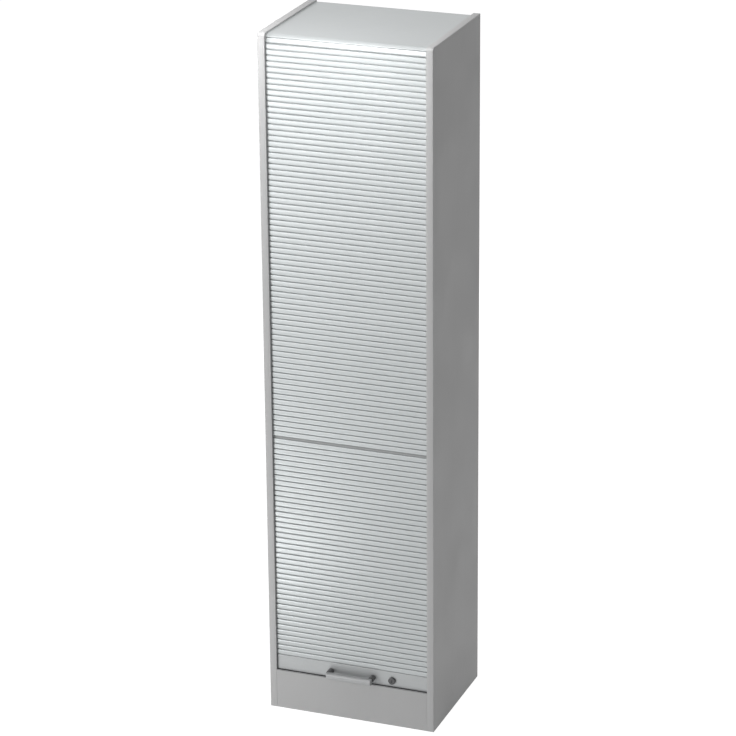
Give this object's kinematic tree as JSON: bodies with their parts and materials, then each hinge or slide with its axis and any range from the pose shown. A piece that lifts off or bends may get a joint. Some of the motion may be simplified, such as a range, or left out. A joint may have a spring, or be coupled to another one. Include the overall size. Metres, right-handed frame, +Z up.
{
  "type": "tambour door cabinet",
  "caption": "Tall narrow cabinet with a silver slatted curtain that slides up in side tracks, a bow handle and a lock on its end rail, a plinth, and shelves for binders behind it.",
  "frame": {"origin": "middle of the box on the floor, below the middle of the width and depth with the handle", "axes": "+X to the right seen from the front, +Y from the front to the back, +Z up"},
  "size_m": [0.47, 0.384, 1.885],
  "materials": {
    "board": "silver-grey melamine on chipboard",
    "edge": "silver-grey edge band",
    "backboard": "silver-grey hardboard",
    "cover": "silver satin",
    "slats": "silver, smooth",
    "dark_plastic": "anthracite",
    "seal": "black",
    "backing": "woven backing",
    "rail": "anodised satin",
    "grip": "silver satin",
    "lock": "dark nickel",
    "steel": "zinc plated"
  },
  "bodies": {
    "carcass": {"side_panel_left": "board", "side_panel_right": "board", "bottom_board": "board", "top_board": "board", "shelf_1": "board", "shelf_2": "board", "shelf_3": "board", "shelf_4": "board", "plinth_panel": "board", "rear_rail": "board", "edge_band_left": "edge", "edge_band_right": "edge", "back_panel": "backboard", "false_back": "backboard", "top_cover": "cover", "lower_slats": "slats", "upper_slats": "slats", "over_top_slats": "slats", "joining_strip": "dark_plastic", "track_left": "dark_plastic", "track_right": "dark_plastic", "foot_caps": "dark_plastic", "foot_sleeves": "dark_plastic", "sill_seal": "seal", "curtain_backing": "backing", "backing_over_top": "backing", "shelf_pins": "steel", "strike_plate": "steel", "cam_fittings": "steel"},
    "curtain_rail": {"end_rail": "rail", "rail_glide_left": "dark_plastic", "rail_glide_right": "dark_plastic", "handle_grip": "grip", "handle_foot_left": "dark_plastic", "handle_foot_right": "dark_plastic", "handle_screws": "steel", "lock_housing": "lock", "lock_nut": "lock"},
    "lock_cylinder": {"lock_core": "lock", "lock_hook": "lock", "hook_screw": "lock"},
    "foot_body_1": {"foot_1": "steel"},
    "foot_body_2": {"foot_2": "steel"},
    "foot_body_3": {"foot_3": "steel"},
    "foot_body_4": {"foot_4": "steel"}
  },
  "joints": [
    {"name": "tambour_slide", "type": "slide", "parent": "carcass", "child": "curtain_rail", "axis": [0, 0, 1], "range_m": [0, 1.685], "deforming": ["lower_slats", "joining_strip", "upper_slats", "curtain_backing"]},
    {"name": "lock_turn", "type": "hinge", "parent": "curtain_rail", "child": "lock_cylinder", "pos_m": [0.115, -0.144, 0.13], "axis": [0, 1, 0], "range_deg": [0, 90]},
    {"name": "foot_1_level", "type": "slide", "parent": "carcass", "child": "foot_body_1", "axis": [0, 0, 1], "range_m": [-0.012, 0]},
    {"name": "foot_2_level", "type": "slide", "parent": "carcass", "child": "foot_body_2", "axis": [0, 0, 1], "range_m": [-0.012, 0]},
    {"name": "foot_3_level", "type": "slide", "parent": "carcass", "child": "foot_body_3", "axis": [0, 0, 1], "range_m": [-0.012, 0]},
    {"name": "foot_4_level", "type": "slide", "parent": "carcass", "child": "foot_body_4", "axis": [0, 0, 1], "range_m": [-0.012, 0]}
  ]
}
